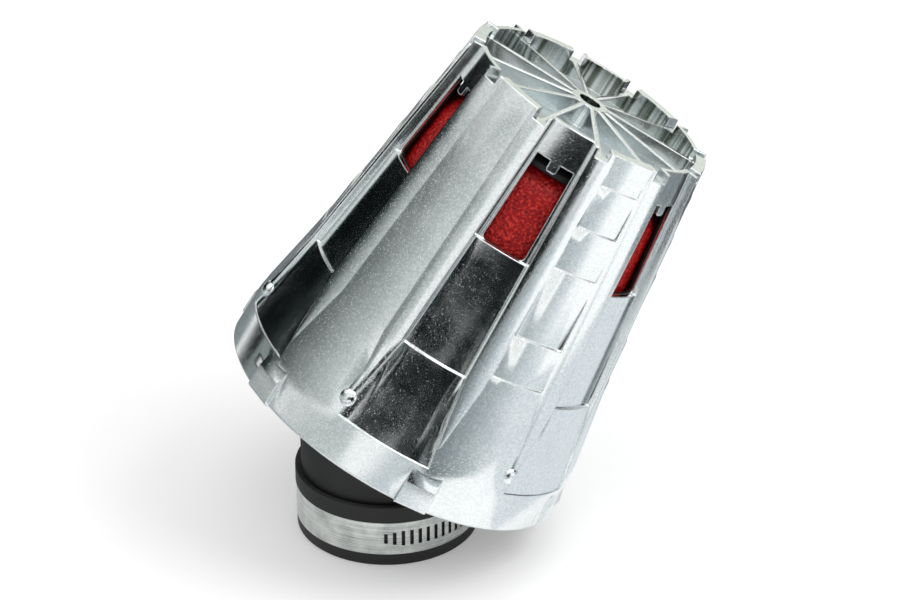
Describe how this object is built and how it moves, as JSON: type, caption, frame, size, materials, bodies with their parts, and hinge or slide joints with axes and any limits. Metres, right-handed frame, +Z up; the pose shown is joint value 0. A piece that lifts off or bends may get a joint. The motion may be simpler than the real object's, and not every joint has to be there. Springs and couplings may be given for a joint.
{
  "type": "performance air filter",
  "caption": "Conical engine air filter with a bright ribbed and windowed cowl over red foam, on an angled rubber neck with a worm clamp.",
  "frame": {"origin": "centre of the rubber neck's lower mouth, on its flat lip", "axes": "+Z up along the neck's axis, +X the way the cowl leans"},
  "size_m": [0.1255, 0.101, 0.1408],
  "materials": {
    "plated_plastic": "polished",
    "red_foam": "matte",
    "black_nylon": "satin",
    "black_rubber": "matte",
    "band_steel": "satin"
  },
  "bodies": {
    "filter": {"cowl": "plated_plastic", "foam_element": "red_foam", "end_cap": "black_nylon", "support_cage": "black_nylon", "base_plate": "black_nylon", "rubber_neck": "black_rubber", "clamp_band": "band_steel", "clamp_housing": "band_steel"},
    "screw": {"clamp_screw": "band_steel"}
  },
  "joints": [
    {"name": "screw_turn", "type": "hinge", "parent": "filter", "child": "screw", "pos_m": [0.00755, 0.02817, 0.0087], "axis": [-0.9659, 0.2588, 0], "continuous": true}
  ]
}
